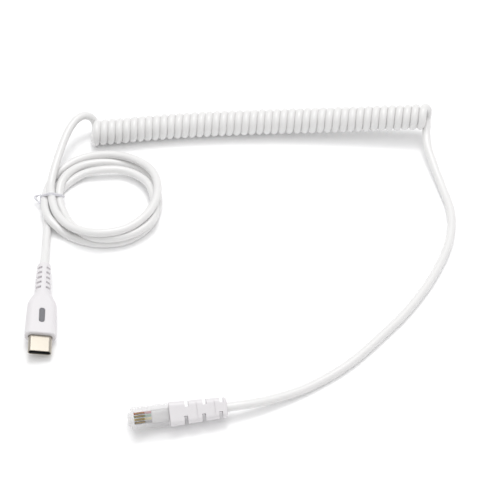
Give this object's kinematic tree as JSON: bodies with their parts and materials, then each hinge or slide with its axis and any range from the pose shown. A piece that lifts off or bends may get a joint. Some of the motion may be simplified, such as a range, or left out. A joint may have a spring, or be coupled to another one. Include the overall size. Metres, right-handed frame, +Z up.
{
  "type": "coiled usb c to modular plug cable",
  "caption": "White coiled cable with a USB-C plug, a small tied flat coil, a tight curly stretch, a plain lead and a clear modular plug with a slotted boot, lying as set down.",
  "frame": {"origin": "on the floor that the cable lies on, under the middle of its outline", "axes": "+X along the curly stretch, from the USB-C side to the lead's side; +Y away from the viewer, from the plugs towards the curly stretch; +Z up"},
  "size_m": [0.1605, 0.1481, 0.0151],
  "materials": {
    "white_jacket": "smooth satin PVC",
    "white_moulding": "fine moulded satin",
    "steel": "bright nickel plating",
    "black_plastic": "matt",
    "grey_window": "smooth translucent grey",
    "clear_plastic": "clear moulded polycarbonate",
    "clear_tie": "thin frosted plastic film over wire",
    "gold": "gold plating",
    "red_wire": "smooth insulation",
    "green_wire": "smooth insulation",
    "yellow_wire": "smooth insulation",
    "black_wire": "smooth insulation"
  },
  "bodies": {
    "root": {"usb_c_shell": "steel", "usb_c_insulator": "black_plastic", "usb_c_housing": "white_moulding", "usb_c_window": "grey_window", "cord_tail": "white_jacket", "tied_coil": "white_jacket", "twist_tie": "clear_tie", "cord_hook": "white_jacket", "curly_cord": "white_jacket", "cord_lead": "white_jacket", "plug_boot": "white_moulding", "modular_plug": "clear_plastic", "contact_blade_1": "gold", "contact_blade_2": "gold", "contact_blade_3": "gold", "contact_blade_4": "gold", "wire_red": "red_wire", "wire_green": "green_wire", "wire_yellow": "yellow_wire", "wire_black": "black_wire", "jacket_end": "white_jacket"}
  },
  "joints": []
}
